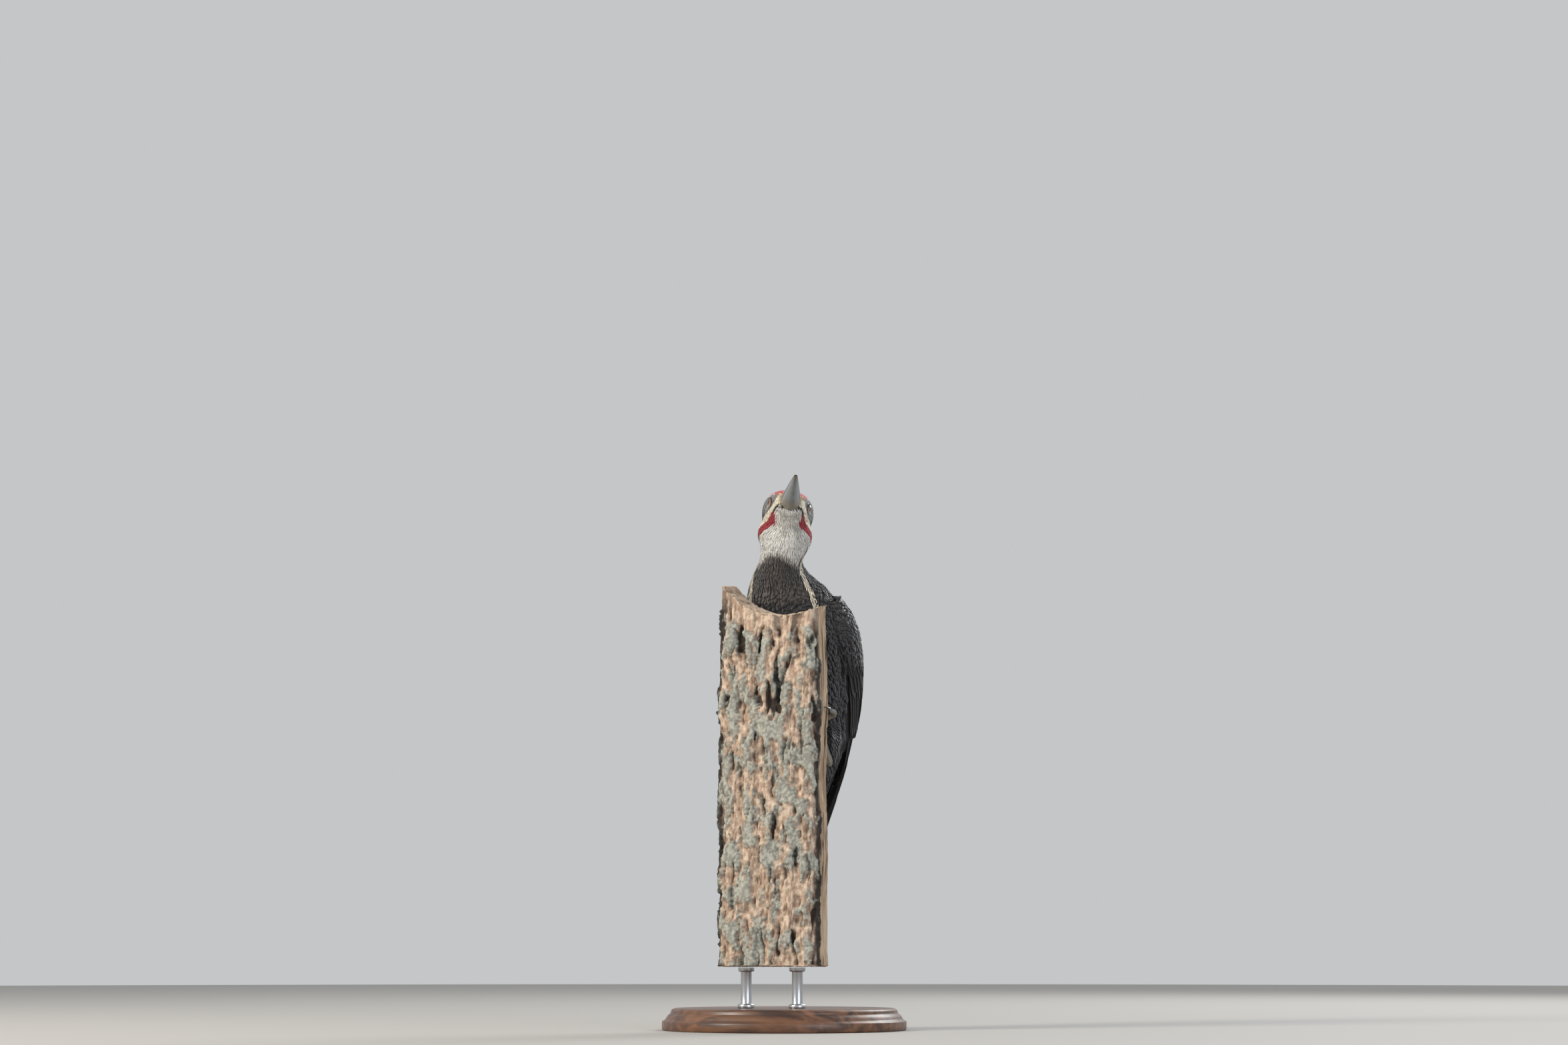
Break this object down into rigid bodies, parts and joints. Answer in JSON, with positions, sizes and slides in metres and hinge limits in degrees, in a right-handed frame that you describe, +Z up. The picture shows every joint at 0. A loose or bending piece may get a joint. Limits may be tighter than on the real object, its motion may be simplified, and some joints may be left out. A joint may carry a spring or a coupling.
{
  "type": "pileated woodpecker",
  "caption": "Male pileated woodpecker clinging upright behind a length split from a palm trunk, head turned over its top, on a round display stand.",
  "frame": {"origin": "centre of the stand's underside", "axes": "+Z up; the bird's belly and the perch's bark side face -Y, its back +Y, its left side +X"},
  "size_m": [0.182, 0.182, 0.4152],
  "materials": {
    "plumage_black": "slaty black feathers",
    "plumage_face": "white, slate and red short feathers",
    "plumage_red": "scarlet crest feathers",
    "bill": "grey horn, satin",
    "eye": "wet, amber iris",
    "scaly_skin": "dark grey scales",
    "claw": "dark horn",
    "palm_wood": "weathered bark and fibrous wood",
    "stained_board": "dark stain, satin",
    "rod_steel": "brushed"
  },
  "bodies": {
    "root": {"trunk": "plumage_black", "neck": "plumage_black", "head": "plumage_face", "crest": "plumage_red", "bill_upper": "bill", "bill_lower": "bill", "eye_left": "eye", "eye_right": "eye", "wing_left": "plumage_black", "wing_right": "plumage_black", "tail": "plumage_black", "thigh_left": "plumage_black", "thigh_right": "plumage_black", "shank_left": "scaly_skin", "shank_right": "scaly_skin", "foot_left": "scaly_skin", "foot_right": "scaly_skin", "claw_inner_left": "claw", "claw_middle_left": "claw", "claw_outer_left": "claw", "claw_hind_left": "claw", "claw_inner_right": "claw", "claw_middle_right": "claw", "claw_outer_right": "claw", "claw_hind_right": "claw", "perch": "palm_wood", "stand_base": "stained_board", "stand_rod_left": "rod_steel", "stand_rod_right": "rod_steel"}
  },
  "joints": []
}
